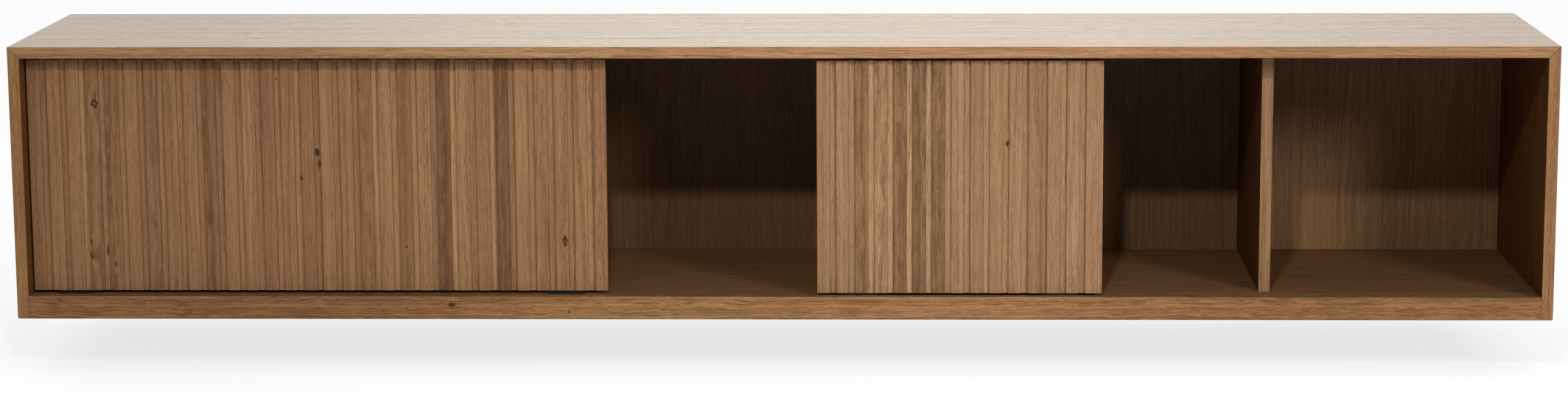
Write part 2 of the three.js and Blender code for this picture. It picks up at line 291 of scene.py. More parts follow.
def oak(name, grain, wood, roughness, figure_share=1.0, knots=(), flecks=0.0, streaks=1.0,
        shine=0.5):
    """Wire-brushed, oiled oak. Its open pores show as short dark dashes along the grain, its
    growth rings as wandering streaks a few millimetres apart, and the oil leaves a soft, dull
    sheen. Wood names its pair of colours in the settings."""
    settings = bpy.context.scene.console_oak
    pale, deep = (linear(getattr(settings, f"{wood}_{end}")) for end in ("pale", "deep"))
    material, tree = new_material(name)
    place = add(tree, "TexCoord").outputs["Object"]
    cut = add(tree, "Attribute", attribute_name="cut").outputs["Vector"]
    strip = add(tree, "SeparateXYZ", {
        0: add(tree, "Attribute", attribute_name="strip").outputs["Vector"],
    })
    tone, warmth, figure = strip.outputs
    moved = add(tree, "VectorMath", {0: place, 1: cut}, operation="ADD").outputs[0]
    turned = add(tree, "Mapping", {0: moved, "Rotation": GRAIN_TURNS[grain]}).outputs[0]

    # The grain wanders slowly, and on figured strips it curls
    curled = add(tree, "Math", {0: figure, 1: FIGURED_CURL, 2: PLAIN_CURL * figure_share},
                 operation="MULTIPLY_ADD").outputs[0]
    grown = turned
    for cell, detail, push in (((55, 420), 1.0, DRIFT), ((14, 48), 1.5, curled)):
        bend = add(tree, "TexNoise", {"Vector": in_cells(tree, turned, *cell), "Scale": 1.0,
                                      "Detail": detail})
        way = add(tree, "VectorMath", {0: bend.outputs["Color"], 1: NOISE_MEAN},
                  operation="SUBTRACT")
        by = add(tree, "VectorMath", {0: way.outputs[0], "Scale": push}, operation="SCALE")
        grown = add(tree, "VectorMath", {0: grown, 1: by.outputs[0]}, operation="ADD").outputs[0]
    curl = bend.outputs["Fac"]

    # Growth rings follow one depth through the tree, and part round the knots
    depth = add(tree, "VectorMath", {0: grown, 1: RING_WAY},
                operation="DOT_PRODUCT").outputs["Value"]
    knot_shade = None
    if knots:
        depth, knot_shade = part_rings(tree, place, depth, knots)
    rings = add(tree, "TexNoise", {"W": depth, "Scale": 1 / (settings.ring_spacing * RING_CELL),
                                   "Detail": 2.0, "Roughness": 0.55},
                noise_dimensions="1D").outputs["Fac"]

    # Streaks finer than the rings, pores, and broad clouds. Real pores are 0.3 mm wide: drawn
    # 0.8 mm wide here, so that they show
    patterns = []
    for space, cell, detail, rough in ((grown, (1.3, 150), 2.0, 0.6), (grown, (0.8, 16), 1.5, 0.5),
                                       (turned, (60, 210), 2.0, 0.5)):
        patterns.append(add(tree, "TexNoise", {"Vector": in_cells(tree, space, *cell),
                                               "Scale": 1.0, "Detail": detail,
                                               "Roughness": rough}))
    fibre, pore_noise, cloud = (pattern.outputs["Fac"] for pattern in patterns)
    crowding = add(tree, "Math", {0: rings, 1: PORE_CROWDING, 2: pore_noise},
                   operation="MULTIPLY_ADD")
    pores = add(tree, "MapRange", {**PORE_SPAN, "Value": crowding.outputs[0]}).outputs[0]

    # Rings, fibres, clouds and curl together say how deep the colour is. Rings and curl show most
    # on figured wood
    swings = [
        add(tree, "MapRange", {**NOISE_SPAN, "Value": noise, "To Min": -swing, "To Max": swing})
        for noise, swing in ((rings, settings.ring_contrast),
                             (fibre, settings.fibre_contrast * streaks),
                             (cloud, settings.cloud_contrast), (curl, CURL_CONTRAST))
    ]
    ring_swing, fibre_part, cloud_part, patches = (swing.outputs[0] for swing in swings)
    ring_share = add(tree, "Math", {0: figure, 1: FIGURED_RINGS, 2: PLAIN_RINGS},
                     operation="MULTIPLY_ADD").outputs[0]
    ring_part = add(tree, "Math", {0: ring_swing, 1: ring_share}, operation="MULTIPLY").outputs[0]
    # Brushed fibre ends are finer than 0.5 mm: drawn 1 mm wide, so that they show
    speckle = add(tree, "TexNoise", {"Vector": place, "Scale": 1 / (1.0 * MM), "Detail": 1.0})
    speckle_part = add(tree, "MapRange", {**NOISE_SPAN, "Value": speckle.outputs["Fac"],
                                          "To Min": 0.5 - SPECKLE_CONTRAST,
                                          "To Max": 0.5 + SPECKLE_CONTRAST}).outputs[0]
    patch_part = add(tree, "Math", {0: patches, 1: figure, 2: cloud_part},
                     operation="MULTIPLY_ADD").outputs[0]
    grain_sum = add(tree, "Math", {0: ring_part, 1: fibre_part}, operation="ADD").outputs[0]
    all_sum = add(tree, "Math", {0: grain_sum, 1: patch_part}, operation="ADD").outputs[0]
    shade = add(tree, "Math", {0: all_sum, 1: speckle_part}, operation="ADD",
                use_clamp=True).outputs[0]
    tissue = add(tree, "Mix", {0: shade, 6: pale, 7: deep}, data_type="RGBA").outputs[2]

    # Some strips are more golden or pinker than others, and each lies a little deeper or paler
    hue_shift = add(tree, "Math", {0: warmth, 1: 0.5, 2: 0.5}, operation="MULTIPLY_ADD",
                    use_clamp=True).outputs[0]
    tint = add(tree, "Mix", {0: hue_shift, 6: PINK, 7: GOLDEN}, data_type="RGBA").outputs[2]
    tinted = add(tree, "Mix", {0: 1.0, 6: tissue, 7: tint}, data_type="RGBA",
                 blend_type="MULTIPLY").outputs[2]
    # Deeper wood is also a redder brown, and paler wood is closer to cream
    level = add(tree, "Math", {0: tone, 1: 1.0}, operation="ADD").outputs[0]
    green, blue = (add(tree, "Math", {0: level, 1: power}, operation="POWER").outputs[0]
                   for power in TONE_POWERS)
    levels = add(tree, "CombineXYZ", {0: level, 1: green, 2: blue})
    toned = add(tree, "VectorMath", {0: tinted, 1: levels.outputs[0]},
                operation="MULTIPLY").outputs[0]
    covered = add(tree, "Math", {0: pores, 1: PORE_COVER}, operation="MULTIPLY").outputs[0]
    colour = add(tree, "Mix", {0: covered, 6: toned, 7: linear(settings.pore)},
                 data_type="RGBA").outputs[2]
    if flecks:
        # Pale ray flecks, a few millimetres long across the grain of quarter-sawn veneer
        rays = add(tree, "TexNoise", {"Vector": in_cells(tree, turned, 9, 3.2), "Scale": 1.0,
                                      "Detail": 1.0})
        fleck = add(tree, "MapRange", {**span(0.6, 0.7), "Value": rays.outputs["Fac"],
                                       "To Min": 0.0, "To Max": flecks})
        colour = add(tree, "Mix", {0: fleck.outputs[0], 6: colour, 7: pale},
                     data_type="RGBA").outputs[2]
    if knot_shade is not None:
        colour = add(tree, "Mix", {0: knot_shade, 6: colour, 7: linear(settings.knot)},
                     data_type="RGBA").outputs[2]

    # Brushing opens the soft wood: pores and streaks lie a little lower and are duller
    open_grain = add(tree, "Math", {0: pores, 1: 0.8, 2: fibre}, operation="MULTIPLY_ADD")
    height = add(tree, "Math", {0: 1.0, 1: open_grain.outputs[0]}, operation="SUBTRACT")
    relief = add(tree, "Bump", {"Strength": 0.35, "Distance": 0.2 * MM,
                                "Height": height.outputs[0]}).outputs[0]
    dullness = add(tree, "MapRange", {**span(0.3, 1.2), "Value": open_grain.outputs[0],
                                      "To Min": roughness - 0.05,
                                      "To Max": roughness + 0.15}).outputs[0]
    shader = add(tree, "BsdfPrincipled", {
        "Base Color": colour, "Roughness": dullness, "Normal": relief, "IOR": 1.5,
        "Specular IOR Level": shine,
    })
    finish_material(tree, shader)
    return material


def birch_plywood():
    """Sanded birch plywood: pale rotary-cut faces, and on the edges the plies as light and dark
    lines 1.6 mm apart."""
    material, tree = new_material("sanded_birch_plywood")
    place = add(tree, "TexCoord").outputs["Object"]
    face = add(tree, "SeparateXYZ", {0: add(tree, "TexCoord").outputs["Normal"]})
    turned = add(tree, "Mapping", {0: place, "Rotation": GRAIN_TURNS["along_case"]}).outputs[0]
    veins = add(tree, "TexNoise", {"Vector": in_cells(tree, turned, 7, 160), "Scale": 1.0,
                                   "Detail": 3.0})
    veneer = add(tree, "Mix", {0: veins.outputs["Fac"], 6: linear("#c9a678"),
                               7: linear("#a07c50")}, data_type="RGBA").outputs[2]
    ply = add(tree, "SeparateXYZ", {0: place}).outputs["Y"]
    ply_turns = add(tree, "Math", {0: ply, 1: 2 * HALF_TURN / PLY_PAIR}, operation="MULTIPLY")
    ply_wave = add(tree, "Math", {0: ply_turns.outputs[0]}, operation="SINE")
    ply_dark = add(tree, "MapRange", {**span(-0.3, 0.3), "Value": ply_wave.outputs[0]}).outputs[0]
    edge = add(tree, "Mix", {0: ply_dark, 6: linear("#bb976a"), 7: linear("#85633f")},
               data_type="RGBA").outputs[2]
    facing = add(tree, "Math", {0: face.outputs["Y"]}, operation="ABSOLUTE")
    is_edge = add(tree, "Math", {0: facing.outputs[0], 1: WITH_ARRISES},
                  operation="LESS_THAN").outputs[0]
    colour = add(tree, "Mix", {0: is_edge, 6: veneer, 7: edge}, data_type="RGBA").outputs[2]
    grit = add(tree, "TexNoise", {"Vector": place, "Scale": 1 / (0.8 * MM), "Detail": 1.0})
    relief = add(tree, "Bump", {"Strength": 0.3, "Distance": 0.1 * MM,
                                "Height": grit.outputs["Fac"]}).outputs[0]
    shader = add(tree, "BsdfPrincipled", {"Base Color": colour, "Roughness": 0.7,
                                          "Normal": relief, "IOR": 1.5})
    finish_material(tree, shader)
    return material


def hard_fibre():
    """Hard fibre strip, sawn and waxed: an even brown with fine flecks and a dull shine where the
    door runs on it."""
    material, tree = new_material("waxed_hard_fibre")
    place = add(tree, "TexCoord").outputs["Object"]
    # Real flecks are finer than 0.5 mm: drawn 1.5 mm, so that they show
    speck = add(tree, "TexNoise", {"Vector": place, "Scale": 1 / (1.5 * MM), "Detail": 2.0})
    colour = add(tree, "Mix", {0: speck.outputs["Fac"], 6: linear("#675339"),
                               7: linear("#493a26")}, data_type="RGBA").outputs[2]
    gloss = add(tree, "MapRange", {**NOISE_SPAN, "Value": speck.outputs["Fac"],
                                   "To Min": 0.35, "To Max": 0.55}).outputs[0]
    shader = add(tree, "BsdfPrincipled", {"Base Color": colour, "Roughness": gloss, "IOR": 1.5})
    finish_material(tree, shader)
    return material


def moulded_nylon():
    """Injection-moulded black nylon: near black, with a fine spark-eroded grain that leaves it
    almost dull."""
    material, tree = new_material("moulded_black_nylon")
    place = add(tree, "TexCoord").outputs["Object"]
    # The real grain is finer than 0.3 mm: drawn 0.6 mm, so that it shows
    grain = add(tree, "TexNoise", {"Vector": place, "Scale": 1 / (0.6 * MM), "Detail": 1.0})
    colour = add(tree, "Mix", {0: grain.outputs["Fac"], 6: linear("#1f1c19"),
                               7: linear("#131110")}, data_type="RGBA").outputs[2]
    relief = add(tree, "Bump", {"Strength": 0.4, "Distance": 0.05 * MM,
                                "Height": grain.outputs["Fac"]}).outputs[0]
    shader = add(tree, "BsdfPrincipled", {"Base Color": colour, "Roughness": 0.6,
                                          "Normal": relief, "IOR": 1.53,
                                          "Specular IOR Level": 0.25})
    finish_material(tree, shader)
    return material


def anodised_channel():
    """Extruded aluminium, satin anodised in bronze: die lines run along it, so it shines in a soft
    streak."""
    material, tree = new_material("bronze_anodised_aluminium")
    place = add(tree, "TexCoord").outputs["Object"]
    turned = add(tree, "Mapping", {0: place, "Rotation": GRAIN_TURNS["along_case"]}).outputs[0]
    lines = add(tree, "TexNoise", {"Vector": in_cells(tree, turned, 0.4, 300), "Scale": 1.0,
                                   "Detail": 1.0})
    colour = add(tree, "Mix", {0: lines.outputs["Fac"], 6: linear("#6a5c49"),
                               7: linear("#53483a")}, data_type="RGBA").outputs[2]
    gloss = add(tree, "MapRange", {**NOISE_SPAN, "Value": lines.outputs["Fac"],
                                   "To Min": 0.28, "To Max": 0.42}).outputs[0]
    shader = add(tree, "BsdfPrincipled", {"Base Color": colour, "Roughness": gloss,
                                          "Metallic": 1.0})
    finish_material(tree, shader)
    return material


def paint(piece, material):
    """Gives a whole piece one material."""
    piece.data.materials.clear()
    piece.data.materials.append(material)


def place_piece(name, bm, material, body):
    """Turns a finished bmesh into a piece of the console that rides on a body."""
    mesh = bpy.data.meshes.new(name)
    bm.to_mesh(mesh)
    bm.free()
    piece = bpy.data.objects.new(name, mesh)
    bpy.context.scene.collection.objects.link(piece)
    paint(piece, material)
    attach(piece, body)
    return piece


def soften(bm, edges, width):
    """Rounds edges by a hand-sanded arris."""
    bmesh.ops.bevel(bm, geom=edges, offset=width, offset_type="OFFSET", affect="EDGES",
                    segments=bpy.context.scene.console_joinery.arris_segments,
                    profile=0.5, material=-1, clamp_overlap=True)


def note_strip(bm, cut, strip, darkening=()):
    """Gives the newest vertices, which have no strip yet, their cut of the tree and their tone.
    Darkening lists places along the case in millimetres with how much darker the wood is there."""
    cuts = bm.verts.layers.float_vector["cut"]
    strips = bm.verts.layers.float_vector["strip"]
    noted = bm.verts.layers.int["noted"]
    tone, warmth, figure = strip
    for vertex in bm.verts:
        if not vertex[noted]:
            vertex[cuts] = cut
            vertex[strips] = (tone - between(darkening, vertex.co.x / MM), warmth, figure)
            vertex[noted] = 1


def between(steps, place):
    """The value at a place between listed (place, value) steps, held beyond both ends."""
    if not steps or place <= steps[0][0]:
        return steps[0][1] if steps else 0.0
    for (low, low_value), (high, high_value) in zip(steps, steps[1:]):
        if place <= high:
            return low_value + (high_value - low_value) * (place - low) / (high - low)
    return steps[-1][1]


def new_strips():
    """An empty bmesh whose vertices carry what the oak needs to know."""
    bm = bmesh.new()
    bm.verts.layers.float_vector.new("cut")
    bm.verts.layers.float_vector.new("strip")
    bm.verts.layers.int.new("noted")
    return bm


def dress(node, name, material, cut=(0.0, 0.0, 0.0), strip=PLAIN_STRIP, darkening=()):
    """Replaces a plain CAD panel by the same panel with its edges sanded to a small arris."""
    bm = new_strips()
    bm.from_mesh(frame["nodes"][node].data)
    bmesh.ops.remove_doubles(bm, verts=bm.verts, dist=SAME_PLACE)
    bmesh.ops.dissolve_limit(bm, angle_limit=math.radians(1), verts=bm.verts, edges=bm.edges)
    sharp = [e for e in bm.edges if e.is_manifold and e.calc_face_angle(0.0) > SHARP_TURN]
    soften(bm, sharp, bpy.context.scene.console_joinery.panel_arris)
    for place, _ in darkening:
        bmesh.ops.bisect_plane(bm, geom=bm.verts[:] + bm.edges[:] + bm.faces[:], dist=SAME_PLACE,
                               plane_co=(place * MM, 0.0, 0.0), plane_no=(1.0, 0.0, 0.0))
    note_strip(bm, cut, strip, darkening)
    bmesh.ops.triangulate(bm, faces=[f for f in bm.faces if len(f.verts) > 4])
    piece = place_piece(name, bm, material, frame["nodes"][node]["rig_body"])
    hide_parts(node)
    return piece


def refinish(piece, material, chosen, strip=None):
    """Gives the faces that a test picks their own material and, if wanted, their own strip."""
    piece.data.materials.append(material)
    strips = piece.data.attributes["strip"].data
    for face in piece.data.polygons:
        if chosen(face):
            face.material_index = 1
            for vertex in face.vertices if strip else ():
                strips[vertex].vector = strip


def add_strip(bm, low, high, arris, cut, strip, darkening):
    """One strip of oak: a block between two corners with its edges eased."""
    low, high = Vector(low), Vector(high)
    size = Matrix.Diagonal((*(high - low), 1.0))
    made = bmesh.ops.create_cube(bm, size=1.0, matrix=Matrix.Translation((low + high) / 2) @ size)
    edges = list({e for v in made["verts"] for e in v.link_edges})
    soften(bm, edges, arris)
    note_strip(bm, cut, strip, darkening)


def hex_colour(name, what, default):
    """A setting that holds a colour as its sRGB hex value."""
    return bpy.props.StringProperty(name=name, description=f"{what}, as a hex colour",
                                    default=default)


def distance(name, what, default, low, high):
    """A setting that holds a length."""
    return bpy.props.FloatProperty(name=name, description=what, default=default, min=low,
                                   max=high, subtype="DISTANCE", unit="LENGTH")


def share(name, what, default, high=1.0):
    """A setting that holds a strength, from nothing up."""
    return bpy.props.FloatProperty(name=name, description=what, default=default, min=0.0,
                                   max=high, subtype="FACTOR")


class ConsoleOakSettings(bpy.types.PropertyGroup):
    """Colours and grain of the oak."""

    case_pale: hex_colour("Case Pale", "Palest wood of the case", "#bd926a")
    case_deep: hex_colour("Case Deep", "Deepest wood of the case", "#906743")
    side_pale: hex_colour("Side Pale", "Palest wood of the sides", "#bd8f61")
    side_deep: hex_colour("Side Deep", "Deepest wood of the sides", "#90643d")
    rail_pale: hex_colour("Rail Pale", "Palest wood of the bottom rail", "#b28358")
    rail_deep: hex_colour("Rail Deep", "Deepest wood of the bottom rail", "#7d5433")
    # Painted shade: the top of the rail is drawn darker than its front, for the little light on it
    threshold_pale: hex_colour("Threshold Pale", "Palest wood on top of the rail", "#8a6641")
    threshold_deep: hex_colour("Threshold Deep", "Deepest wood on top of the rail", "#5f3e24")
    wide_pale: hex_colour("Wide Door Pale", "Palest wood of the wide door", "#a67c58")
    wide_deep: hex_colour("Wide Door Deep", "Deepest wood of the wide door", "#7d5737")
    narrow_pale: hex_colour("Narrow Door Pale", "Palest wood of the narrow door", "#b18a67")
    narrow_deep: hex_colour("Narrow Door Deep", "Deepest wood of the narrow door", "#856041")
    inside_pale: hex_colour("Inside Pale", "Palest veneer inside the case", "#785733")
    inside_deep: hex_colour("Inside Deep", "Deepest veneer inside the case", "#52341b")
    # Lining of inner sides and dividers: darker, redder veneer, partly stain, partly painted shade
    shaded_lining_pale: hex_colour("Lining Pale", "Palest veneer on dividers and sides", "#73471c")
    shaded_lining_deep: hex_colour("Lining Deep", "Deepest veneer on dividers and sides", "#4e290c")
    pore: hex_colour("Pores", "Colour in the open pores", "#55351b")
    knot: hex_colour("Knots", "Colour at the heart of a knot", "#452a16")
    ring_spacing: distance("Ring Spacing", "Distance between growth rings",
                           4.5 * MM, 1 * MM, 20 * MM)
    ring_contrast: share("Ring Contrast", "How far rings shift between pale and deep wood", 0.26)
    fibre_contrast: share("Fibre Contrast", "How far fine streaks shift the colour", 0.38)
    cloud_contrast: share("Cloud Contrast", "How far broad patches shift the colour", 0.09)
    strip_variation: share("Strip Variation", "How much the doors' strips differ at random",
                           0.058, 0.5)
    seed: bpy.props.IntProperty(
        name="Seed", description="Picks another set of strips", default=7, min=0)


class ConsoleJoinerySettings(bpy.types.PropertyGroup):
    """Sizes of the visible joinery that the frame doesn't give."""

    slat_width: distance("Slat Width", "Width of one raised slat", 21.6 * MM, 5 * MM, 60 * MM)
    slat_relief: distance("Slat Relief", "How far a slat stands proud of its channel",
                          4 * MM, 1 * MM, 6.5 * MM)
    slat_arris: distance("Slat Arris", "Rounding of a slat's edges", 1.2 * MM, 0.1 * MM, 2 * MM)
    channel_arris: distance("Channel Arris", "Rounding of a channel strip's edges",
                            0.35 * MM, 0.05 * MM, 0.45 * MM)
    strip_gap: distance("Strip Gap", "Open joint between neighbouring strips",
                        0.15 * MM, 0.0, 0.5 * MM)
    panel_arris: distance("Panel Arris", "Rounding of the case panels' edges",
                          0.6 * MM, 0.1 * MM, 2 * MM)
    arris_segments: bpy.props.IntProperty(
        name="Arris Segments", description="Flat steps that draw one rounding",
        default=3, min=1, max=6)


class ConsoleStudioSettings(bpy.types.PropertyGroup):
    """The camera, lamps, floor and background."""

    camera_place: bpy.props.FloatVectorProperty(
        name="Camera Place", description="Where the camera stands",
        default=(0.1959, -6.2107, 0.7895), subtype="TRANSLATION", unit="LENGTH")
    camera_yaw: bpy.props.FloatProperty(
        name="Camera Yaw", description="Turn of the camera to the right",
        default=-0.0234, subtype="ANGLE", unit="ROTATION")
    camera_pitch: bpy.props.FloatProperty(
        name="Camera Pitch", description="How far the camera looks down",
        default=0.1702, subtype="ANGLE", unit="ROTATION")
    camera_roll: bpy.props.FloatProperty(
        name="Camera Roll", description="Tilt of the camera about its own axis",
        default=-0.0035, subtype="ANGLE", unit="ROTATION")
    lens: bpy.props.FloatProperty(
        name="Lens", description="Focal length on a 36 mm wide sensor",
        default=81.56, min=20.0, max=300.0, subtype="DISTANCE_CAMERA", unit="CAMERA")
    key_place: bpy.props.FloatVectorProperty(
        name="Key Place", description="Where the small key lamp stands",
        default=(-0.046, -4.143, 2.5), subtype="TRANSLATION", unit="LENGTH")
    key_size: distance("Key Size", "Diameter of the key lamp", 0.2, 0.01, 3.0)
    key_power: bpy.props.FloatProperty(
        name="Key Power", description="Power of the key lamp",
        default=31.0, min=0.0, max=1000.0, subtype="POWER", unit="POWER")
    key_spread: bpy.props.FloatProperty(
        name="Key Spread", description="Width of the key lamp's beam, which fades to its edge",
        default=2.1, min=0.1, max=math.pi, subtype="ANGLE", unit="ROTATION")
    key_aim: bpy.props.FloatProperty(
        name="Key Aim", description="Where along the case the key lamp points",
        default=0.45, subtype="DISTANCE", unit="LENGTH")
    fill_place: bpy.props.FloatVectorProperty(
        name="Fill Place", description="Where the broad fill lamp stands",
        default=(3.73, -4.83, 2.0), subtype="TRANSLATION", unit="LENGTH")
    fill_size: distance("Fill Size", "Width of the fill lamp", 1.3, 0.05, 4.0)
    fill_power: bpy.props.FloatProperty(
        name="Fill Power", description="Power of the fill lamp",
        default=140.0, min=0.0, max=2000.0, subtype="POWER", unit="POWER")
    ceiling_light: share("Ceiling Light", "Brightness of the soft light from above", 0.9, 4.0)
    wall_light: share("Wall Light", "Brightness of the soft light from halfway up the room",
                      0.3, 4.0)
    backdrop_shine: share("Backdrop Shine", "How bright the backdrop's middle is in reflections",
                          1.97, 4.0)
    backdrop_tint: bpy.props.FloatVectorProperty(
        name="Backdrop Tint", description="Colour of the backdrop in reflections",
        default=(0.91, 0.99, 0.98), min=0.0, max=1.0, subtype="COLOR")
    backdrop_fade: share("Backdrop Fade", "How bright its ends are against its middle", 0.68)
    room_shine: share("Room Shine", "How bright the room in front is in reflections", 0.08)
    floor_drop: distance("Floor Drop", "Height of the case above the studio floor",
                         96 * MM, 0.0, 2.0)
    floor_paper: share("Floor Paper", "How white the floor looks where no light falls", 0.77)
    floor_shadow: share("Floor Shadow", "How strongly light and shadow show on the floor", 0.29)
    floor_bounce: share("Floor Bounce", "How much light the floor throws back at the case", 0.6)


class CONSOLE_OT_case(bpy.types.Operator):
    """Dress the top, the two sides and the bottom rail in oiled oak"""

    bl_idname = "console.case"
    bl_label = "Dress Case"

    def execute(self, context):
        lengthwise = oak("oiled_oak_lengthwise", "along_case", "case", 0.34, streaks=1.5)
        rail = oak("oiled_oak_rail", "along_case", "rail", 0.6, knots=RAIL_KNOTS, streaks=1.5,
                   shine=0.2)
        edges = oak("oiled_oak_front_edge", "along_case", "case", 0.6, streaks=1.5, shine=0.2)
        upright = oak("oiled_oak_upright", "upright", "side", 0.55, shine=0.3)
        # Painted shade: the rail's top face gets darker wood than its front
        threshold = oak("oak_shaded_rail_top", "along_case", "threshold", 0.6, shine=0.35)
        # Inner faces of the sides: veneer darkened partly by painted shade
        shaded_lining = oak("oak_veneer_sides_painted_shade", "upright", "shaded_lining", 0.7, 1.6, shine=0.2)
        top = dress("top_panel", "oak_top", lengthwise, darkening=TOP_DARKENING)
        refinish(top, edges, lambda face: face.normal.y < -WITH_ARRISES)
        self.paint_mitre_shade(top)
        front_rail = dress("front_bottom_rail", "oak_bottom_rail", rail,
                           cut=(0.31, 0.07, 0.0), strip=(0.0, 0.2, 0.6),
                           darkening=RAIL_DARKENING)
        refinish(front_rail, threshold, lambda face: face.normal.z > FLAT_ONLY)
        for place, inward, cut, tone, shaded_lining_tone in (("left", 1, 0.13, -0.27, -0.03),
                                                      ("right", -1, 0.29, -0.26, -0.07)):
            panel = dress(f"{place}_side_panel", f"oak_{place}_side", upright,
                          cut=(0.0, cut, 3 * cut), strip=(tone, -0.3, 0.3))
            refinish(panel, shaded_lining, lambda face: inward * face.normal.x > FLAT_ONLY,
                     (shaded_lining_tone, 0.2, 0.3))
            self.paint_mitre_shade(panel)
        return {"FINISHED"}

    def paint_mitre_shade(self, panel):
        """Paints the shade of the open joint at a mitre as a dark line."""
        strips = panel.data.attributes["strip"].data
        for vertex in panel.data.vertices:
            from_end = CAD_BOX[1].x - abs(vertex.co.x)
            from_top = CAD_BOX[1].z - vertex.co.z
            if abs(from_end - from_top) < MITRE_REACH:
                strips[vertex.index].vector = MITRE_SHADE_STRIP


class CONSOLE_OT_inside(bpy.types.Operator):
    """Dress the floor, the dividers and the backs in oak veneer"""

    bl_idname = "console.inside"
    bl_label = "Dress Inside"

    def execute(self, context):
        lengthwise = oak("oak_veneer_lengthwise", "along_case", "inside", 0.7, 1.2, shine=0.2)
        upright = oak("oak_veneer_upright", "upright", "inside", 0.6, 1.6, flecks=0.25, shine=0.35)
        lipping = oak("oak_lipping_upright", "upright", "narrow", 0.6, shine=0.2)
        shaded_lining = bpy.data.materials["oak_veneer_sides_painted_shade"]
        dress("floor_panel", "oak_floor", lengthwise, cut=(0.2, 0.4, 0.1),
              strip=(0.26, -0.9, 0.0), darkening=FLOOR_DARKENING)
        # Painted light: the right back is drawn paler than the others, for the brighter right bay
        backs = {"left": (0.0, 0.0, 0.05), "centre": (0.0, 0.0, 0.05), "right": (0.46, -0.6, 0.05)}
        for number, (place, strip) in enumerate(backs.items()):
            dress(f"{place}_back_panel", f"oak_{place}_back", upright,
                  cut=(0.0, 0.11 * number, 0.7 * number), strip=strip)
        # The dividers' faces get the same veneer, darkened partly by painted shade
        for number, place in enumerate(("left", "right")):
            divider = dress(f"{place}_divider", f"oak_{place}_divider", shaded_lining,
                            cut=(0.4, 0.23 * number, 0.3), strip=(-0.15, 0.3, 0.15))
            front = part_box(f"{place}_divider")[0].y
            refinish(divider, lipping, lambda face: face.center.y < front + LIPPING_EDGE)
        return {"FINISHED"}


class CONSOLE_OT_doors(bpy.types.Operator):
    """Build both doors from separate strips of oak, slats standing proud of channels"""

    bl_idname = "console.doors"
    bl_label = "Build Doors"

    def execute(self, context):
        wood = {
            "wide_door": oak("brushed_oak_wide_door", "upright", "wide", 0.6, knots=DOOR_KNOTS,
                             streaks=0.85, shine=0.2),
            "narrow_door": oak("brushed_oak_narrow_door", "upright", "narrow", 0.6,
                               knots=DOOR_KNOTS, shine=0.2),
        }
        backing = bpy.data.materials["oak_veneer_upright"]
        marked = {"wide_door": (WIDE_SLATS, WIDE_CHANNELS),
                  "narrow_door": (NARROW_SLATS, NARROW_CHANNELS)}
        for door in DOORS:
            # The doors' names differ in length, so each door has chances of its own
            chance = random.Random(context.scene.console_oak.seed + len(door))
            boards = sorted(n for n in frame["nodes"] if n.startswith(f"{door}_board_"))
            first_low, first_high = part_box(boards[0])
            pitch = (first_high.x - first_low.x) / SLATS_PER_BOARD
            for number, node in enumerate(boards):
                strips = self.build_board(context, node, number, pitch, marked[door],
                                          DOOR_PAINTED_SHADE[door], chance)
                piece = place_piece(node.replace("board", "oak_slats"), strips, wood[door],
                                    frame["nodes"][node]["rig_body"])
                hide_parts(node)
            dress(f"{door}_backing", f"{door}_oak_backing", backing,
                  cut=(0.5, 0.2, 0.6))
        return {"FINISHED"}

    def build_board(self, context, node, number, pitch, marked, darkening, chance):
        """Three slats and their channels, to stand in place of one milled board."""
        sizes = context.scene.console_joinery
        slats, channels = marked
        low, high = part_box(node)
        gap = sizes.strip_gap / 2
        web = low.y + sizes.slat_relief
        bm = new_strips()
        for step in range(SLATS_PER_BOARD):
            count = number * SLATS_PER_BOARD + step + 1
            left = low.x + step * pitch
            right = left + sizes.slat_width
            end = min(left + pitch, high.x)
            add_strip(bm, (left + gap, low.y, low.z), (right - gap, high.y, high.z),
                      sizes.slat_arris, self.any_cut(chance),
                      self.vary(context, slats.get(count, PLAIN_STRIP), chance), darkening)
            if end - right > sizes.strip_gap:
                add_strip(bm, (right + gap, web, low.z), (end - gap, high.y, high.z),
                          sizes.channel_arris, self.any_cut(chance),
                          self.vary(context, channels.get(count, PLAIN_CHANNEL), chance),
                          darkening)
        return bm

    def any_cut(self, chance):
        """A place in the tree that no other strip was cut from."""
        return tuple(chance.uniform(-TREE_REACH, TREE_REACH) for _ in range(3))

    def vary(self, context, strip, chance):
        """A strip's own tone, warmth and figure, with a little chance added."""
        spread = context.scene.console_oak.strip_variation
        tone, warmth, figure = strip
        return (tone + chance.gauss(0, spread), warmth + chance.gauss(0, WARMTH_SPREAD),
                max(0.0, figure + chance.gauss(0, FIGURE_SPREAD)))


class CONSOLE_OT_carcass(bpy.types.Operator):
    """Dress the hidden plywood rails and bearers"""

    bl_idname = "console.carcass"
    bl_label = "Dress Carcass"

    def execute(self, context):
        plywood = birch_plywood()
        dress("rear_bottom_rail", "plywood_rear_rail", plywood)
        for place in ("left", "centre", "right"):
            dress(f"{place}_cross_bearer", f"plywood_{place}_bearer", plywood)
            dress(f"{place}_hanging_rail", f"plywood_{place}_hanging_rail", plywood)
        return {"FINISHED"}


class CONSOLE_OT_sliding_gear(bpy.types.Operator):
    """Finish the channels, track ribs, stops, glides and guides"""

    bl_idname = "console.sliding_gear"
    bl_label = "Finish Sliding Gear"

    def execute(self, context):
        finishes = {"channel": anodised_channel(), "track": hard_fibre(),
                    "stop": moulded_nylon()}
        finishes["glide"] = finishes["guide"] = finishes["stop"]
        for name, piece in frame["nodes"].items():
            kind = name.rsplit("_", 1)[-1]
            if kind in finishes:
                paint(piece, finishes[kind])
        return {"FINISHED"}


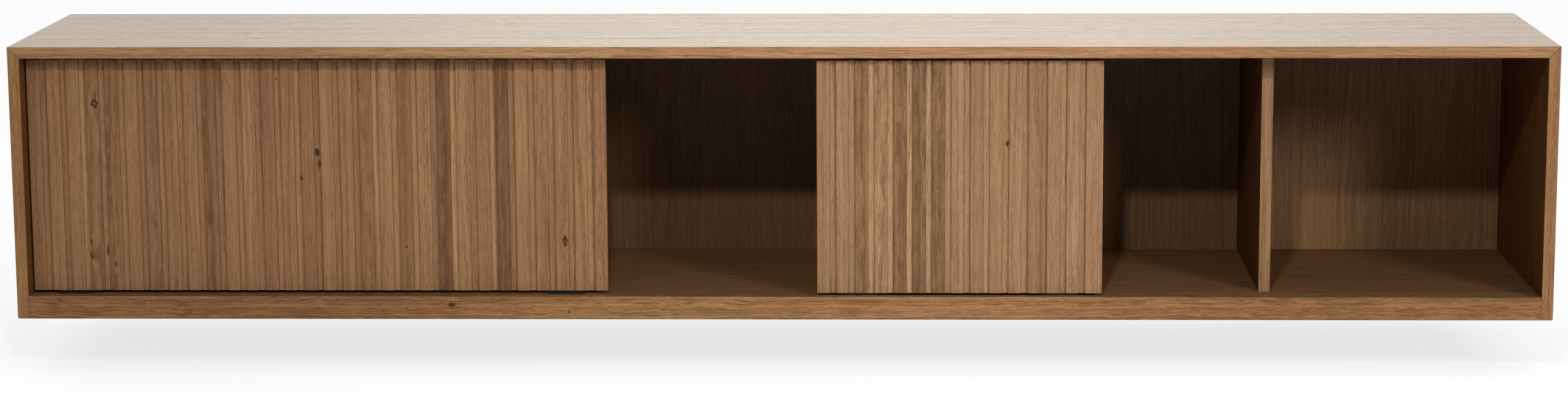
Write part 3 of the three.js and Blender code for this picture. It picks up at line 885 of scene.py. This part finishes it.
class CONSOLE_OT_stage(bpy.types.Operator):
    """Set up the camera, the lamps, the white background and the studio floor"""

    bl_idname = "console.stage"
    bl_label = "Set Up Stage"

    def execute(self, context):
        studio = context.scene.console_studio
        self.add_camera(context, studio)
        key = self.add_lamp(context, "key_lamp", studio.key_place, studio.key_aim,
                            studio.key_size, studio.key_power)
        key.spread = studio.key_spread
        self.add_lamp(context, "fill_lamp", studio.fill_place, 0.0, studio.fill_size,
                      studio.fill_power)
        self.light_world(context, studio)
        self.add_floor(context, studio)
        context.scene.view_settings.view_transform = "Standard"
        return {"FINISHED"}

    def add_camera(self, context, studio):
        """The photograph's camera, with the small shift of its lens axis."""
        data = bpy.data.cameras.new("camera")
        data.sensor_width = 36.0
        data.lens = studio.lens
        data.shift_x = 0.5 - LENS_AXIS_X / PHOTO_WIDTH
        camera = bpy.data.objects.new("camera", data)
        camera.matrix_world = (
            Matrix.Translation(studio.camera_place)
            @ Matrix.Rotation(-studio.camera_yaw, 4, "Z")
            @ Matrix.Rotation(QUARTER_TURN - studio.camera_pitch, 4, "X")
            @ Matrix.Rotation(studio.camera_roll, 4, "Z")
        )
        context.scene.collection.objects.link(camera)
        context.scene.camera = camera

    def add_lamp(self, context, name, place, aim_x, size, power):
        """A round soft lamp that points at the middle of the case's front."""
        aim = Vector((aim_x, CAD_BOX[0].y, CAD_BOX[0].z / 2))
        data = bpy.data.lights.new(name, "AREA")
        data.shape = "DISK"
        data.size = size
        data.energy = power
        lamp = bpy.data.objects.new(name, data)
        lamp.location = place
        lamp.rotation_mode = "QUATERNION"
        lamp.rotation_quaternion = (aim - Vector(place)).to_track_quat("-Z", "Y")
        context.scene.collection.objects.link(lamp)
        return data

    def light_world(self, context, studio):
        """White to the camera. Reflections see it only behind the case, where the backdrop is, and
        the dim room in front. All else is lit softly from above."""
        world = bpy.data.worlds.new("studio")
        world.use_nodes = True
        tree = world.node_tree
        tree.nodes.clear()
        way = add(tree, "SeparateXYZ", {0: add(tree, "TexCoord").outputs["Generated"]})
        aside = add(tree, "Math", {0: way.outputs["X"]}, operation="ABSOLUTE")
        backdrop = add(tree, "MapRange", {
            **BACKDROP_ASIDE, "Value": aside.outputs[0], "To Min": studio.backdrop_shine,
            "To Max": studio.backdrop_shine * studio.backdrop_fade,
        }, interpolation_type="SMOOTHSTEP").outputs[0]
        behind = add(tree, "MapRange", {
            **BACKDROP_BACK, "Value": way.outputs["Y"], "To Min": studio.room_shine,
            "To Max": backdrop,
        }, interpolation_type="SMOOTHSTEP").outputs[0]
        soft = 0.0
        for up, light in ((WALLS_UP, studio.wall_light), (CEILING_UP, studio.ceiling_light)):
            soft = add(tree, "MapRange", {**up, "Value": way.outputs["Z"], "To Min": soft,
                                          "To Max": light}).outputs[0]
        rays = add(tree, "LightPath").outputs
        shiny = add(tree, "Math", {0: rays["Is Glossy Ray"], 1: rays["Is Transmission Ray"]},
                    operation="MAXIMUM").outputs[0]
        unseen = add(tree, "Mix", {0: shiny, 2: soft, 3: behind}).outputs[0]
        strength = add(tree, "Mix", {0: rays["Is Camera Ray"], 2: unseen, 3: 1.0}).outputs[0]
        tint = add(tree, "Mix", {0: shiny, 6: (1.0, 1.0, 1.0, 1.0),
                                 7: (*studio.backdrop_tint, 1.0)}, data_type="RGBA").outputs[2]
        background = add(tree, "Background", {"Color": tint, "Strength": strength})
        add(tree, "OutputWorld", {"Surface": background.outputs[0]})
        context.scene.world = world

    def add_floor(self, context, studio):
        """White studio paper, which keeps the case's shadow and is clear when seen from below."""
        floor_z = CAD_BOX[0].z - studio.floor_drop
        bm = bmesh.new()
        bmesh.ops.create_grid(bm, x_segments=1, y_segments=1, size=FLOOR_REACH,
                              matrix=Matrix.Translation((0.0, 0.0, floor_z)))
        mesh = bpy.data.meshes.new("studio_floor")
        bm.to_mesh(mesh)
        bm.free()
        floor = bpy.data.objects.new("studio_floor", mesh)
        context.scene.collection.objects.link(floor)

        material, tree = new_material("white_studio_paper")
        place = add(tree, "TexCoord").outputs["Object"]
        # Real paper's tooth is finer than 0.5 mm: drawn 4.5 mm, so that it shows
        tooth = add(tree, "TexNoise", {"Vector": place, "Scale": PAPER_TOOTH, "Detail": 2.0})
        shade = add(tree, "MapRange", {"Value": tooth.outputs["Fac"],
                                       "To Min": (1 + PAPER_SPREAD) * studio.floor_shadow,
                                       "To Max": (1 - PAPER_SPREAD) * studio.floor_shadow})
        seen = add(tree, "LightPath").outputs["Is Camera Ray"]
        paper = add(tree, "Mix", {0: seen, 2: studio.floor_bounce, 3: shade.outputs[0]})
        lit = add(tree, "BsdfDiffuse", {"Color": paper.outputs[0]})
        glow = add(tree, "Math", {0: seen, 1: studio.floor_paper}, operation="MULTIPLY")
        white = add(tree, "Emission", {"Color": (1.0, 1.0, 1.0, 1.0),
                                       "Strength": glow.outputs[0]})
        top = add(tree, "AddShader", {0: lit.outputs[0], 1: white.outputs[0]})
        beneath = add(tree, "NewGeometry").outputs["Backfacing"]
        clear = add(tree, "BsdfTransparent")
        shader = add(tree, "MixShader", {0: beneath, 1: top.outputs[0], 2: clear.outputs[0]})
        finish_material(tree, shader)
        paint(floor, material)


class CONSOLE_PT_panel(bpy.types.Panel):
    """Lists the console's steps and settings"""

    bl_idname = "CONSOLE_PT_panel"
    bl_label = "Floating Media Console"
    bl_space_type = "VIEW_3D"
    bl_region_type = "UI"
    bl_category = "Console"

    def draw(self, context):
        for operator in OPERATORS:
            self.layout.operator(operator.bl_idname)
        for group in (context.scene.console_oak, context.scene.console_joinery,
                      context.scene.console_studio):
            box = self.layout.box()
            for name in group.__annotations__:
                box.prop(group, name)


SETTINGS = {
    "console_oak": ConsoleOakSettings,
    "console_joinery": ConsoleJoinerySettings,
    "console_studio": ConsoleStudioSettings,
}
OPERATORS = (
    CONSOLE_OT_stage,
    CONSOLE_OT_case,
    CONSOLE_OT_inside,
    CONSOLE_OT_doors,
    CONSOLE_OT_carcass,
    CONSOLE_OT_sliding_gear,
)


def register():
    for group in SETTINGS.values():
        bpy.utils.register_class(group)
    for name, group in SETTINGS.items():
        setattr(bpy.types.Scene, name, bpy.props.PointerProperty(type=group))
    for operator in OPERATORS:
        bpy.utils.register_class(operator)
    bpy.utils.register_class(CONSOLE_PT_panel)


def unregister():
    bpy.utils.unregister_class(CONSOLE_PT_panel)
    for operator in reversed(OPERATORS):
        bpy.utils.unregister_class(operator)
    for name, group in SETTINGS.items():
        delattr(bpy.types.Scene, name)
        bpy.utils.unregister_class(group)


def main():
    register()
    bpy.ops.console.stage()
    bpy.ops.console.case()
    bpy.ops.console.inside()
    bpy.ops.console.doors()
    bpy.ops.console.carcass()
    bpy.ops.console.sliding_gear()


if __name__ == "__main__":
    main()
